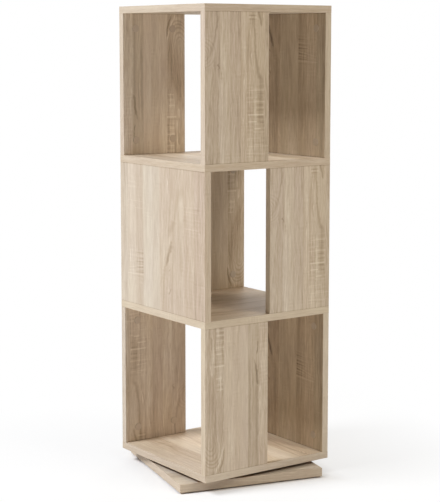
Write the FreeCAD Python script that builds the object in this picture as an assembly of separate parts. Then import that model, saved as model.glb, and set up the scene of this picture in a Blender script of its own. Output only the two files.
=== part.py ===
"""Rotary filing tower: three open tiers for A4 lever arch files that turn together on a ball bearing swivel.

The carcass is four square boards with upright panels between them. Each tier has one full panel on one side
and a half panel on each of the two sides next to it, against the open side. The middle tier is turned half a
turn from the other two, so its openings face the other way. Cam locks and dowels join the uprights to the
boards. Underneath, a steel swivel turns on a base plate that stands on four glides.

Millimetres, +Z up. The origin is on the floor, on the turning axis. The carcass sides face +X, -X, +Y and -Y,
the top and bottom tiers are open towards -X, and the base plate stands turned under the carcass.
"""

import FreeCAD
import Part
from FreeCAD import Placement, Rotation, Vector
import math
import os

# Carcass boards and panels
CARCASS_SIDE = 345.0
BOARD_THICKNESS = 16.0
TIER_CLEAR_HEIGHT = 325.0
HALF_PANEL_WIDTH = 170.0
TIERS = ("bottom", "middle", "top")
TURNED_TIERS = ("middle",)
BOARD_NAMES = ("bottom_board", "lower_shelf", "upper_shelf", "top_board")

# Edge banding glued round every board
BAND_THICKNESS = 0.8
BAND_ROUNDING = 0.4

# Cam locks: a cam in the panel's inner face grips the head of a bolt that stands in the board
CAM_DIAMETER = 15.0
CAM_BEYOND_BOLT = 4.5
CAM_FROM_END = 34.0
CAM_FROM_EDGE = 34.0
CAM_RECESS = 0.3
CAM_JAW = 3.0
CAM_SOCKET_DIAMETER = 4.2
CAM_SOCKET_DEPTH = 2.0
CAM_SLOT_LENGTH = 9.0
CAM_SLOT_WIDTH = 1.4
CAM_SLOT_DEPTH = 1.0
CAP_OVERLAP = 1.0
CAP_THICKNESS = 1.0
CAP_ROUNDING = 0.5
BOLT_THREAD_DIAMETER = 5.0
BOLT_THREAD_LENGTH = 11.0
BOLT_TIP_DIAMETER = 2.5
BOLT_TIP_LENGTH = 2.5
BOLT_COLLAR_DIAMETER = 7.4
BOLT_COLLAR_HEIGHT = 2.0
BOLT_SHANK_DIAMETER = 5.4
BOLT_NECK_DIAMETER = 3.8
BOLT_NECK_SPARE = 1.0
BOLT_HEAD_DIAMETER = 6.4
BOLT_HEAD_HEIGHT = 3.0
BOLT_BORE_CLEARANCE = 0.3

# Dowels beside the cam locks
DOWEL_DIAMETER = 8.0
DOWEL_IN_BOARD = 10.5
DOWEL_IN_PANEL = 19.0
DOWEL_CHAMFER = 1.0
DOWEL_FROM_CAM = 32.0

# Base plate and its glides
BASE_SIDE = 345.0
BASE_THICKNESS = 19.0
BASE_TURN_DEGREES = -13.6
GLIDE_DIAMETER = 24.0
GLIDE_HEIGHT = 3.0
GLIDE_ROUNDING = 0.8
GLIDE_FROM_EDGE = 30.0
NAIL_DIAMETER = 2.0
NAIL_IN_BASE = 13.0
NAIL_POINT = 2.5
NAIL_HEAD_DIAMETER = 5.0
NAIL_HEAD_HEIGHT = 1.0

# Swivel: two stamped square plates with a ring of caged balls between them
SWIVEL_PLATE_SIDE = 152.4
SWIVEL_PLATE_CORNER = 6.0
SWIVEL_SHEET = 1.2
SWIVEL_HOLE_FROM_EDGE = 9.5
TRACK_RADIUS = 57.0
RACE_SHOULDER = 4.0
RACE_RAMP = 1.5
RACE_CLEARANCE = 0.15
RACE_FLOOR_GAP = 0.25
LIP_FROM_TRACK = 9.0
BALL_DIAMETER = 4.8
BALL_COUNT = 30
CAGE_WIDTH = 7.4
CAGE_THICKNESS = 1.2
CAGE_CLEARANCE = 0.6
RING_CLEARANCE = 0.3
RING_FLANGE = 4.0
LOWER_PLATE_TURN_DEGREES = 45.0
ACCESS_HOLE_DIAMETER = 20.0

# Swivel screws
SCREW_DIAMETER = 4.0
SCREW_LENGTH = 12.0
SCREW_POINT = 3.0
SCREW_HEAD_DIAMETER = 7.5
SCREW_HEAD_HEIGHT = 2.2
SCREW_CROWN_DIAMETER = 4.5
SCREW_HOLE_DIAMETER = 5.0

FIT_CLEARANCE = 0.1
BORE_SPARE_DEPTH = 0.5

# The swivel's height is the ball between its two races
SWIVEL_HEIGHT = BALL_DIAMETER + 2 * (RACE_CLEARANCE + SWIVEL_SHEET + RACE_FLOOR_GAP)
RACE_RISE = (SWIVEL_HEIGHT - CAGE_THICKNESS) / 2 - CAGE_CLEARANCE - SWIVEL_SHEET
LIP_RADIUS = TRACK_RADIUS - LIP_FROM_TRACK

# Heights above the floor
BASE_BOTTOM = GLIDE_HEIGHT
BASE_TOP = BASE_BOTTOM + BASE_THICKNESS
CARCASS_BOTTOM = BASE_TOP + SWIVEL_HEIGHT
TIER_PITCH = TIER_CLEAR_HEIGHT + BOARD_THICKNESS
CAM_LENGTH = BOARD_THICKNESS / 2 + CAM_BEYOND_BOLT - CAM_RECESS

X_AXIS = Vector(1, 0, 0)
Y_AXIS = Vector(0, 1, 0)
Z_AXIS = Vector(0, 0, 1)
ORIGIN = Vector(0, 0, 0)


# ---------------------------------------------------------------- small helpers

def rod(diameter, length, start=ORIGIN, direction=Z_AXIS):
    """A plain cylinder from start along direction."""
    return Part.makeCylinder(diameter / 2, length, start, direction)


def block(low, high):
    """A box between two opposite corners."""
    size = high - low
    return Part.makeBox(size.x, size.y, size.z, low)


def turned(profile_points):
    """A solid of revolution about Z. Each profile point is (radius, height)."""
    wire = Part.makePolygon([Vector(r, 0, z) for r, z in profile_points + profile_points[:1]])
    return Part.Face(wire).revolve(ORIGIN, Z_AXIS, 360)


def group(solids):
    """Separate solids that share one node."""
    return Part.makeCompound(solids)


def about_z(degrees):
    return Placement(ORIGIN, Rotation(Z_AXIS, degrees))


def placed(shape, placement):
    copy = shape.copy()
    copy.Placement = placement.multiply(copy.Placement)
    return copy


def rounded_disc(diameter, height, rounding, start=ORIGIN):
    """A disc whose far rim, away from start, is rounded."""
    disc = rod(diameter, height, start)
    rim = [e for e in disc.Edges if e.BoundBox.ZMin > start.z + height / 2]
    return disc.makeFillet(min(rounding, height / 2), rim)


# ---------------------------------------------------------------- boards with edge banding

def band_strip(length, height):
    """An edge band along X, with its outer face at Y = 0 and its two long outer arrises rounded."""
    strip = block(ORIGIN, Vector(length, BAND_THICKNESS, height))
    outer_edges = [e for e in strip.Edges if e.BoundBox.YMax < BAND_THICKNESS / 2]
    arrises = [e for e in outer_edges if e.BoundBox.XLength > length / 2]
    return strip.makeFillet(BAND_ROUNDING, arrises)


def square_board(side, thickness):
    """The chipboard core of a square board, centred on Z with its underside at Z = 0."""
    half = side / 2 - BAND_THICKNESS
    return block(Vector(-half, -half, 0), Vector(half, half, thickness))


def square_edging(side, thickness):
    """Four bands round a square board: two between the other two, as they are glued on in turn."""
    short = band_strip(side - 2 * BAND_THICKNESS, thickness)
    short.translate(Vector(BAND_THICKNESS - side / 2, -side / 2, 0))
    long = band_strip(side, thickness)
    long.translate(Vector(-side / 2, -side / 2, 0))
    strips = [placed(short, about_z(0)), placed(short, about_z(180))]
    strips += [placed(long, about_z(90)), placed(long, about_z(270))]
    return group(strips)


# ---------------------------------------------------------------- uprights

class Upright:
    """One upright panel. Its own frame has X along its width, Y = 0 on its outer face and Z up its height."""

    def __init__(self, name, tier, width, corner, degrees):
        self.name = name
        self.tier = tier
        self.width = width
        half_turn = about_z(180 if TIERS[tier] in TURNED_TIERS else 0)
        floor = CARCASS_BOTTOM + BOARD_THICKNESS + tier * TIER_PITCH
        own = Placement(Vector(corner.x, corner.y, floor), Rotation(Z_AXIS, degrees))
        self.placement = half_turn.multiply(own)

    def world(self, x, y, z):
        return self.placement.multVec(Vector(x, y, z))

    def cam_stations(self):
        return (CAM_FROM_EDGE, self.width - CAM_FROM_EDGE)

    def dowel_stations(self):
        from_edge = CAM_FROM_EDGE + DOWEL_FROM_CAM
        return (from_edge, self.width - from_edge)

    def ends(self):
        """The two ends as (height of the end face, direction into the panel, index of the board there)."""
        return ((0.0, 1, self.tier), (TIER_CLEAR_HEIGHT, -1, self.tier + 1))


def uprights():
    """The nine uprights: in each tier a full panel across one side and two half panels at the open side."""
    half = CARCASS_SIDE / 2
    full_corner = Vector(half, -half)
    half_corners = (Vector(-half, -half), Vector(HALF_PANEL_WIDTH - half, half))
    found = []
    for tier, tier_name in enumerate(TIERS):
        # Half a turn brings the panel that starts on the front, -Y, to the rear.
        sides = ("rear", "front") if tier_name in TURNED_TIERS else ("front", "rear")
        found.append(Upright(tier_name + "_full_panel", tier, CARCASS_SIDE, full_corner, 90))
        for side, corner, degrees in zip(sides, half_corners, (0, 180)):
            name = f"{tier_name}_{side}_half_panel"
            found.append(Upright(name, tier, HALF_PANEL_WIDTH, corner, degrees))
    return found


def panel_core(upright):
    """The chipboard core with its cam, bolt and dowel bores."""
    low = Vector(BAND_THICKNESS, 0, 0)
    high = Vector(upright.width - BAND_THICKNESS, BOARD_THICKNESS, TIER_CLEAR_HEIGHT)
    middle = BOARD_THICKNESS / 2
    cam_depth = middle + CAM_BEYOND_BOLT + BORE_SPARE_DEPTH
    bolt_bore = BOLT_COLLAR_DIAMETER + 2 * BOLT_BORE_CLEARANCE
    bores = []
    for end, inward, _ in upright.ends():
        along = Z_AXIS * inward
        for x in upright.cam_stations():
            centre = Vector(x, BOARD_THICKNESS, end + inward * CAM_FROM_END)
            bores.append(rod(CAM_DIAMETER + 2 * FIT_CLEARANCE, cam_depth, centre, -Y_AXIS))
            bores.append(rod(bolt_bore, CAM_FROM_END, Vector(x, middle, end), along))
        for x in upright.dowel_stations():
            depth = DOWEL_IN_PANEL + BORE_SPARE_DEPTH
            bores.append(rod(DOWEL_DIAMETER + 2 * FIT_CLEARANCE, depth, Vector(x, middle, end), along))
    return placed(block(low, high).cut(bores), upright.placement)


def panel_edging(upright):
    """Bands on the two upright edges. The ends are hidden by the boards and stay bare."""
    # This turn brings the band's length upright, its height along Y and its outer face to X = 0.
    stand_up = Rotation(Vector(1, 1, 1), -120)
    near = placed(band_strip(TIER_CLEAR_HEIGHT, BOARD_THICKNESS), Placement(ORIGIN, stand_up))
    far = placed(near, Placement(Vector(upright.width, BOARD_THICKNESS, 0), Rotation(Z_AXIS, 180)))
    return placed(group([near, far]), upright.placement)


def board_bores(board_index, all_uprights):
    """The bolt and dowel bores in one carcass board, for every upright that meets it."""
    bolt_bore = (BOLT_THREAD_DIAMETER + 2 * FIT_CLEARANCE, BOLT_THREAD_LENGTH + BORE_SPARE_DEPTH)
    dowel_bore = (DOWEL_DIAMETER + 2 * FIT_CLEARANCE, DOWEL_IN_BOARD + BORE_SPARE_DEPTH)
    bores = []
    for upright in all_uprights:
        stations = [(x, bolt_bore) for x in upright.cam_stations()]
        stations += [(x, dowel_bore) for x in upright.dowel_stations()]
        for end, inward, meets in upright.ends():
            if meets != board_index:
                continue
            for x, (diameter, depth) in stations:
                start = upright.world(x, BOARD_THICKNESS / 2, end)
                bores.append(rod(diameter, depth, start, -Z_AXIS * inward))
    return bores


# ---------------------------------------------------------------- cam locks and dowels

def cam():
    """A cam with its bolt coming from +X. Its deep end is at Z = 0 and its slotted face at the top."""
    pocket = BOLT_HEAD_DIAMETER / 2 + FIT_CLEARANCE
    throat = BOLT_NECK_DIAMETER / 2 + FIT_CLEARANCE
    radius = CAM_DIAMETER / 2
    bolt_line = Z_AXIS * CAM_BEYOND_BOLT
    head_room = block(Vector(-pocket, -pocket, -pocket), Vector(radius - CAM_JAW, pocket, pocket))
    neck_room = block(Vector(0, -throat, -throat), Vector(radius, throat, throat))
    for room in (head_room, neck_room):
        room.translate(bolt_line)
    socket = rod(CAM_SOCKET_DIAMETER, CAM_SOCKET_DEPTH, Z_AXIS * (CAM_LENGTH - CAM_SOCKET_DEPTH))
    reach, half_width = CAM_SLOT_LENGTH / 2, CAM_SLOT_WIDTH / 2
    slot_floor = CAM_LENGTH - CAM_SLOT_DEPTH
    slot = block(Vector(-reach, -half_width, slot_floor), Vector(reach, half_width, CAM_LENGTH))
    slots = [slot, placed(slot, about_z(90))]
    return rod(CAM_DIAMETER, CAM_LENGTH).cut([head_room, neck_room, socket] + slots)


def cam_cap():
    """A push-in cover: a thin disc on the panel's face, with a peg in the cam's socket."""
    disc = rounded_disc(CAM_DIAMETER + 2 * CAP_OVERLAP, CAP_THICKNESS, CAP_ROUNDING)
    peg_length = CAM_RECESS + CAM_SOCKET_DEPTH - BORE_SPARE_DEPTH
    peg = rod(CAM_SOCKET_DIAMETER - 2 * FIT_CLEARANCE, peg_length, Vector(0, 0, -peg_length))
    return disc.fuse(peg).removeSplitter()


def cam_bolt():
    """The bolt, standing on the board's face at Z = 0 with its head in the cam."""
    head_top = CAM_FROM_END - (CAM_DIAMETER / 2 - CAM_JAW - BOLT_HEAD_HEIGHT) + FIT_CLEARANCE
    head_foot = head_top - BOLT_HEAD_HEIGHT
    neck_foot = head_foot - CAM_JAW - BOLT_NECK_SPARE
    tip, thread, collar = BOLT_TIP_DIAMETER / 2, BOLT_THREAD_DIAMETER / 2, BOLT_COLLAR_DIAMETER / 2
    shank, neck, head = BOLT_SHANK_DIAMETER / 2, BOLT_NECK_DIAMETER / 2, BOLT_HEAD_DIAMETER / 2
    return turned([
        (0, -BOLT_THREAD_LENGTH),
        (tip, -BOLT_THREAD_LENGTH),
        (thread, BOLT_TIP_LENGTH - BOLT_THREAD_LENGTH),
        (thread, 0),
        (collar, 0),
        (collar, BOLT_COLLAR_HEIGHT),
        (shank, BOLT_COLLAR_HEIGHT),
        (shank, neck_foot),
        (neck, neck_foot),
        (neck, head_foot),
        (head, head_foot),
        (head, head_top),
        (0, head_top),
    ])


def dowel():
    """A chamfered wooden dowel with the board's face at Z = 0 and the panel above it."""
    radius = DOWEL_DIAMETER / 2
    tip = radius - DOWEL_CHAMFER
    return turned([
        (0, -DOWEL_IN_BOARD),
        (tip, -DOWEL_IN_BOARD),
        (radius, DOWEL_CHAMFER - DOWEL_IN_BOARD),
        (radius, DOWEL_IN_PANEL - DOWEL_CHAMFER),
        (tip, DOWEL_IN_PANEL),
        (0, DOWEL_IN_PANEL),
    ])


def end_fasteners(all_uprights):
    """Every cam, cap, bolt and dowel, as a dictionary of node name to solids."""
    made = {"cam_locks": [], "cam_caps": [], "cam_bolts": [], "dowels": []}
    # A cam's bolt comes from +X, and its face looks along the panel's +Y.
    face_inward = Rotation(X_AXIS, -90)
    for upright in all_uprights:
        for end, inward, _ in upright.ends():
            towards_end = Rotation(Y_AXIS, 90 * inward)
            upside = Rotation(X_AXIS, 0 if inward > 0 else 180)
            for x in upright.cam_stations():
                height = end + inward * CAM_FROM_END
                deep = BOARD_THICKNESS - CAM_RECESS - CAM_LENGTH
                turn_cam = towards_end.multiply(face_inward)
                cam_place = Placement(Vector(x, deep, height), turn_cam)
                cap_place = Placement(Vector(x, BOARD_THICKNESS, height), face_inward)
                bolt_place = Placement(Vector(x, BOARD_THICKNESS / 2, end), upside)
                made["cam_locks"].append(placed(cam(), upright.placement.multiply(cam_place)))
                made["cam_caps"].append(placed(cam_cap(), upright.placement.multiply(cap_place)))
                made["cam_bolts"].append(placed(cam_bolt(), upright.placement.multiply(bolt_place)))
            for x in upright.dowel_stations():
                dowel_place = Placement(Vector(x, BOARD_THICKNESS / 2, end), upside)
                made["dowels"].append(placed(dowel(), upright.placement.multiply(dowel_place)))
    return made


# ---------------------------------------------------------------- swivel

def hole_corners():
    """The four screw places of a swivel plate, in the plate's own frame."""
    reach = SWIVEL_PLATE_SIDE / 2 - SWIVEL_HOLE_FROM_EDGE
    return [Vector(sx * reach, sy * reach, 0) for sx in (-1, 1) for sy in (-1, 1)]


def race_ring():
    """The stamped ring of the lower plate: a ramp up, a ball groove, and a flat lip inwards."""
    ball_height = SWIVEL_HEIGHT / 2
    top = SWIVEL_SHEET + RACE_RISE
    foot = RACE_RISE
    groove = BALL_DIAMETER / 2 + RACE_CLEARANCE
    back = groove + SWIVEL_SHEET
    groove_half = math.sqrt(groove**2 - (ball_height - top) ** 2)
    back_half = math.sqrt(back**2 - (ball_height - foot) ** 2)
    shoulder = TRACK_RADIUS + RACE_SHOULDER
    rim = shoulder + RACE_RAMP
    outer = rim + SWIVEL_SHEET

    def at(radius, height):
        return Vector(radius, 0, height)

    ball_seat = Part.Arc(at(TRACK_RADIUS + groove_half, top), at(TRACK_RADIUS, ball_height - groove),
                         at(TRACK_RADIUS - groove_half, top))
    ball_back = Part.Arc(at(TRACK_RADIUS - back_half, foot), at(TRACK_RADIUS, ball_height - back),
                         at(TRACK_RADIUS + back_half, foot))
    edges = [
        Part.makeLine(at(outer, SWIVEL_SHEET), at(rim, SWIVEL_SHEET)),
        Part.makeLine(at(rim, SWIVEL_SHEET), at(shoulder, top)),
        Part.makeLine(at(shoulder, top), at(TRACK_RADIUS + groove_half, top)),
        ball_seat.toShape(),
        Part.makeLine(at(TRACK_RADIUS - groove_half, top), at(LIP_RADIUS, top)),
        Part.makeLine(at(LIP_RADIUS, top), at(LIP_RADIUS, foot)),
        Part.makeLine(at(LIP_RADIUS, foot), at(TRACK_RADIUS - back_half, foot)),
        ball_back.toShape(),
        Part.makeLine(at(TRACK_RADIUS + back_half, foot), at(shoulder, foot)),
        Part.makeLine(at(shoulder, foot), at(rim, 0)),
        Part.makeLine(at(rim, 0), at(outer, 0)),
        Part.makeLine(at(outer, 0), at(outer, SWIVEL_SHEET)),
    ]
    return Part.Face(Part.Wire(edges)).revolve(ORIGIN, Z_AXIS, 360)


def swivel_plate():
    """The lower swivel plate in its own frame, lying on Z = 0."""
    half = SWIVEL_PLATE_SIDE / 2
    sheet = block(Vector(-half, -half, 0), Vector(half, half, SWIVEL_SHEET))
    uprights_of_sheet = [e for e in sheet.Edges if abs(e.tangentAt(e.FirstParameter).z) > 0.9]
    sheet = sheet.makeFillet(SWIVEL_PLATE_CORNER, uprights_of_sheet)
    window = rod(2 * (TRACK_RADIUS + RACE_SHOULDER + RACE_RAMP + SWIVEL_SHEET / 2), SWIVEL_SHEET)
    holes = [rod(SCREW_HOLE_DIAMETER, SWIVEL_SHEET, corner) for corner in hole_corners()]
    return sheet.cut([window] + holes).fuse(race_ring()).removeSplitter()


def upper_swivel_plate():
    """The upper plate is the same stamping, turned over."""
    turned_over = Placement(Vector(0, 0, SWIVEL_HEIGHT), Rotation(X_AXIS, 180))
    return placed(swivel_plate(), turned_over)


def retaining_ring():
    """A C-shaped ring through both plates. One flange lies on the upper lip, one runs under the lower lip."""
    wall_outer = LIP_RADIUS - RING_CLEARANCE
    wall_inner = wall_outer - SWIVEL_SHEET
    flange = LIP_RADIUS + RING_FLANGE
    upper_lip_top = SWIVEL_HEIGHT - RACE_RISE
    ring_bottom = RING_CLEARANCE
    low_flange_top = RACE_RISE - RING_CLEARANCE
    ring_top = SWIVEL_HEIGHT - RING_CLEARANCE
    return turned([
        (wall_inner, ring_bottom),
        (flange, ring_bottom),
        (flange, low_flange_top),
        (wall_outer, low_flange_top),
        (wall_outer, upper_lip_top),
        (flange, upper_lip_top),
        (flange, ring_top),
        (wall_inner, ring_top),
    ])


def ball_places():
    step = 2 * math.pi / BALL_COUNT
    reach = TRACK_RADIUS
    return [Vector(reach * math.cos(i * step), reach * math.sin(i * step), 0) for i in range(BALL_COUNT)]


def ball_cage():
    """A flat ring with a pocket for each ball."""
    outer = rod(2 * TRACK_RADIUS + CAGE_WIDTH, CAGE_THICKNESS, Z_AXIS * (-CAGE_THICKNESS / 2))
    inner = rod(2 * TRACK_RADIUS - CAGE_WIDTH, CAGE_THICKNESS, Z_AXIS * (-CAGE_THICKNESS / 2))
    pocket = BALL_DIAMETER + 2 * RACE_CLEARANCE
    pockets = [rod(pocket, CAGE_THICKNESS, place - Z_AXIS * (CAGE_THICKNESS / 2)) for place in ball_places()]
    return outer.cut([inner] + pockets)


def pan_head_screw():
    """A pan head screw that points down, with the underside of its head at Z = 0."""
    shank, head, crown = SCREW_DIAMETER / 2, SCREW_HEAD_DIAMETER / 2, SCREW_CROWN_DIAMETER / 2
    return turned([
        (0, -SCREW_LENGTH),
        (shank, SCREW_POINT - SCREW_LENGTH),
        (shank, 0),
        (head, 0),
        (head, SCREW_HEAD_HEIGHT / 2),
        (crown, SCREW_HEAD_HEIGHT),
        (0, SCREW_HEAD_HEIGHT),
    ])


def screw_hole(start, direction):
    depth = SCREW_LENGTH - SWIVEL_SHEET + BORE_SPARE_DEPTH
    return rod(SCREW_DIAMETER + 2 * FIT_CLEARANCE, depth, start, direction)


# ---------------------------------------------------------------- the three bodies

def base_parts():
    """The base plate on its glides, with the lower half of the swivel. Turned as one under the carcass."""
    base_turn = about_z(BASE_TURN_DEGREES)
    # The lower swivel plate stands cornerwise, which leaves the access hole clear of it.
    cornerwise = about_z(LOWER_PLATE_TURN_DEGREES)
    top = Z_AXIS * BASE_TOP
    screw_places = [cornerwise.multVec(corner) for corner in hole_corners()]
    reach = BASE_SIDE / 2 - GLIDE_FROM_EDGE
    glide_places = [Vector(sx * reach, sy * reach, 0) for sx in (-1, 1) for sy in (-1, 1)]

    core = square_board(BASE_SIDE, BASE_THICKNESS)
    core.translate(Z_AXIS * BASE_BOTTOM)
    access = hole_corners()[-1] + Z_AXIS * BASE_BOTTOM
    bores = [rod(ACCESS_HOLE_DIAMETER, BASE_THICKNESS, access)]
    bores += [screw_hole(place + top, -Z_AXIS) for place in screw_places]
    nail_bore = NAIL_DIAMETER + 2 * FIT_CLEARANCE
    nail_depth = NAIL_IN_BASE + BORE_SPARE_DEPTH
    bores += [rod(nail_bore, nail_depth, place + Z_AXIS * BASE_BOTTOM) for place in glide_places]

    edging = square_edging(BASE_SIDE, BASE_THICKNESS)
    edging.translate(Z_AXIS * BASE_BOTTOM)

    lower_plate = placed(swivel_plate(), cornerwise)
    lower_plate.translate(top)
    screws = []
    for place in screw_places:
        screw = pan_head_screw()
        screw.translate(place + top + Z_AXIS * SWIVEL_SHEET)
        screws.append(screw)

    made = {
        "base_plate": core.cut(bores),
        "base_plate_edging": edging,
        "glide_pads": group([glide_pad(place) for place in glide_places]),
        "glide_nails": group([glide_nail(place) for place in glide_places]),
        "swivel_lower_plate": lower_plate,
        "swivel_lower_screws": group(screws),
    }
    return {name: placed(shape, base_turn) for name, shape in made.items()}


def glide_pad(place):
    """A plastic glide under the base plate, rounded at the floor, with a counterbore for its nail's head."""
    pad = rounded_disc(GLIDE_DIAMETER, GLIDE_HEIGHT, GLIDE_ROUNDING)
    pad = placed(pad, Placement(Z_AXIS * GLIDE_HEIGHT, Rotation(X_AXIS, 180)))
    head_floor = GLIDE_HEIGHT / 2 + FIT_CLEARANCE
    nail_way = rod(NAIL_DIAMETER + 2 * FIT_CLEARANCE, GLIDE_HEIGHT)
    head_room = rod(NAIL_HEAD_DIAMETER + 2 * FIT_CLEARANCE, head_floor)
    pad = pad.cut([nail_way, head_room])
    pad.translate(place)
    return pad


def glide_nail(place):
    """The nail points up into the base plate. Its head bears on the counterbore's floor."""
    head_top = GLIDE_HEIGHT / 2 + FIT_CLEARANCE
    tip = GLIDE_HEIGHT + NAIL_IN_BASE
    shank, head = NAIL_DIAMETER / 2, NAIL_HEAD_DIAMETER / 2
    nail = turned([
        (0, head_top - NAIL_HEAD_HEIGHT),
        (head, head_top - NAIL_HEAD_HEIGHT),
        (head, head_top),
        (shank, head_top),
        (shank, tip - NAIL_POINT),
        (0, tip),
    ])
    nail.translate(place)
    return nail


def ball_row_parts():
    """The balls and their cage, which run round at half the carcass's speed."""
    height = Z_AXIS * (BASE_TOP + SWIVEL_HEIGHT / 2)
    cage = ball_cage()
    cage.translate(height)
    balls = [Part.makeSphere(BALL_DIAMETER / 2, place + height) for place in ball_places()]
    return {"swivel_balls": group(balls), "swivel_ball_cage": cage}


def carcass_parts():
    """The turning carcass, with the upper half of the swivel."""
    all_uprights = uprights()
    made = {}
    upper_screw_holes = [screw_hole(corner + Z_AXIS * CARCASS_BOTTOM, Z_AXIS) for corner in hole_corners()]
    for index, name in enumerate(BOARD_NAMES):
        underside = Z_AXIS * (CARCASS_BOTTOM + index * TIER_PITCH)
        core = square_board(CARCASS_SIDE, BOARD_THICKNESS)
        core.translate(underside)
        bores = board_bores(index, all_uprights)
        if index == 0:
            bores += upper_screw_holes
        made[name] = core.cut(bores)
        edging = square_edging(CARCASS_SIDE, BOARD_THICKNESS)
        edging.translate(underside)
        made[name + "_edging"] = edging
    for upright in all_uprights:
        made[upright.name] = panel_core(upright)
        made[upright.name + "_edging"] = panel_edging(upright)
    for name, solids in end_fasteners(all_uprights).items():
        made[name] = group(solids)

    upper_plate = upper_swivel_plate()
    ring = retaining_ring()
    screws = []
    for corner in hole_corners():
        screw = placed(pan_head_screw(), Placement(corner - Z_AXIS * SWIVEL_SHEET, Rotation(X_AXIS, 180)))
        screw.translate(Z_AXIS * CARCASS_BOTTOM)
        screws.append(screw)
    upper_plate.translate(Z_AXIS * BASE_TOP)
    ring.translate(Z_AXIS * BASE_TOP)
    made["swivel_upper_plate"] = upper_plate
    made["swivel_retaining_ring"] = ring
    made["swivel_upper_screws"] = group(screws)
    return made


def main():
    os.makedirs("parts", exist_ok=True)
    nodes = {**base_parts(), **ball_row_parts(), **carcass_parts()}
    for name, shape in nodes.items():
        shape.exportStep(f"parts/{name}.step")
    print(len(nodes), "nodes,", sum(len(shape.Solids) for shape in nodes.values()), "solids")
    print("overall height", CARCASS_BOTTOM + len(TIERS) * TIER_PITCH + BOARD_THICKNESS)


main()
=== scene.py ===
# %% [markdown]
# # A rotary filing tower in pale oak decor
# Three open tiers stand between four square boards, and the whole carcass turns on a flat ball swivel over
# a square base plate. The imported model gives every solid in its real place, in metres, with Z up, and this
# script adds none of its own. It dresses them: it makes the printed oak of the boards and their bands, the
# skins of the metal and plastic hardware, and then the studio round the tower.

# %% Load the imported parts
import math

import bmesh
import bpy
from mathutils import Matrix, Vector


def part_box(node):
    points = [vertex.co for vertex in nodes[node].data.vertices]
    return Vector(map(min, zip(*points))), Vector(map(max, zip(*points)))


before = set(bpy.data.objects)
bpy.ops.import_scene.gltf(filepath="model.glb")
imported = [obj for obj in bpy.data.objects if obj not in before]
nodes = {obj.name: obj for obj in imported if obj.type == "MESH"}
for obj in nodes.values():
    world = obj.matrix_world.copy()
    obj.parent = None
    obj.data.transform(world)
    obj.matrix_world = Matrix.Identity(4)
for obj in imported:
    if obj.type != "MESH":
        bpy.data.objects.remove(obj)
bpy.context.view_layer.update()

MM = 0.001

# %% [markdown]
# ## Shader nodes written as sums
# A finish is a network of nodes, and most of them only do arithmetic. Added one by one, they bury the idea
# behind a recipe. So what comes out of a socket gets a small class here. Adding, multiplying or comparing
# two such values adds the Math node for it, and the recipes further down read like formulas.

# %% A value in a network of nodes
def add_node(tree, kind, **settings):
    """A new shader node with these settings."""
    made = tree.nodes.new("ShaderNode" + kind)
    for name, value in settings.items():
        setattr(made, name, value)
    return made


class Value:
    """What comes out of one socket. Arithmetic on it adds Math nodes to its network."""

    def __init__(self, socket):
        self.socket = socket
        self.tree = socket.id_data

    def __add__(self, other):
        return calc("ADD", self, other)

    def __sub__(self, other):
        return calc("SUBTRACT", self, other)

    def __rsub__(self, other):
        return calc("SUBTRACT", other, self)

    def __mul__(self, other):
        return calc("MULTIPLY", self, other)

    def __truediv__(self, other):
        return calc("DIVIDE", self, other)

    def __abs__(self):
        return calc("ABSOLUTE", self)

    def __gt__(self, limit):
        return calc("GREATER_THAN", self, limit)

    def __lt__(self, limit):
        return calc("LESS_THAN", self, limit)


def tree_of(*sources):
    """The network that these sources belong to."""
    return next(source.tree for source in sources if isinstance(source, Value))


def feed(socket, source):
    """Links a socket to a Value, or writes a plain number, vector or colour into it."""
    if isinstance(source, Value):
        socket.id_data.links.new(source.socket, socket)
    elif socket.type == "RGBA":
        socket.default_value = (*source, 1.0)
    else:
        socket.default_value = source


def calc(operation, *sources):
    """The result of one Math node."""
    made = add_node(tree_of(*sources), "Math", operation=operation)
    for socket, source in zip(made.inputs, sources):
        feed(socket, source)
    return Value(made.outputs[0])


def remap(value, low, high, new_low=0.0, new_high=1.0, smooth=False):
    """value, stretched from low..high to new_low..new_high and held between them."""
    made = add_node(value.tree, "MapRange", interpolation_type="SMOOTHSTEP" if smooth else "LINEAR")
    for socket, source in zip(made.inputs, (value, low, high, new_low, new_high)):
        feed(socket, source)
    return Value(made.outputs[0])


print("values ready, one millimetre is", MM, "m")

# %% [markdown]
# Three kinds of node do more than arithmetic: textures, which turn a place into a number; nodes that take
# colours apart and mix them; and groups, which keep one recipe for many materials.

# %% Textures, colours and groups
FLOAT = "NodeSocketFloat"
COLOUR = "NodeSocketColor"


def vector(x, y, z):
    """Three numbers joined to one vector."""
    made = add_node(tree_of(x, y, z), "CombineXYZ")
    for socket, source in zip(made.inputs, (x, y, z)):
        feed(socket, source)
    return Value(made.outputs[0])


def noise(place, detail=2.0, roughness=0.5):
    """A cloudy number, about 0.2 to 0.8, with its mean at 0.5."""
    made = add_node(place.tree, "TexNoise", noise_dimensions="3D")
    for name, source in (("Vector", place), ("Scale", 1.0), ("Detail", detail), ("Roughness", roughness)):
        feed(made.inputs[name], source)
    return Value(made.outputs[0])


def cells(place, scale=1.0):
    """A number that jumps from cell to cell, as among crystals or pressed chips."""
    made = add_node(place.tree, "TexVoronoi", feature="F1")
    feed(made.inputs["Vector"], place)
    feed(made.inputs["Scale"], scale)
    return split(Value(made.outputs["Color"]))[0]


def split(value, kind="Color"):
    """The three numbers of a colour, or of a vector where kind is XYZ."""
    made = add_node(value.tree, "Separate" + kind)
    feed(made.inputs[0], value)
    return [Value(output) for output in made.outputs[:3]]


def blend(factor, first, second, mode="MIX"):
    """Two colours mixed."""
    made = add_node(tree_of(factor, first, second), "Mix", data_type="RGBA", blend_type=mode)
    for number, source in ((0, factor), (6, first), (7, second)):
        feed(made.inputs[number], source)
    return Value(made.outputs[2])


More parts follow.
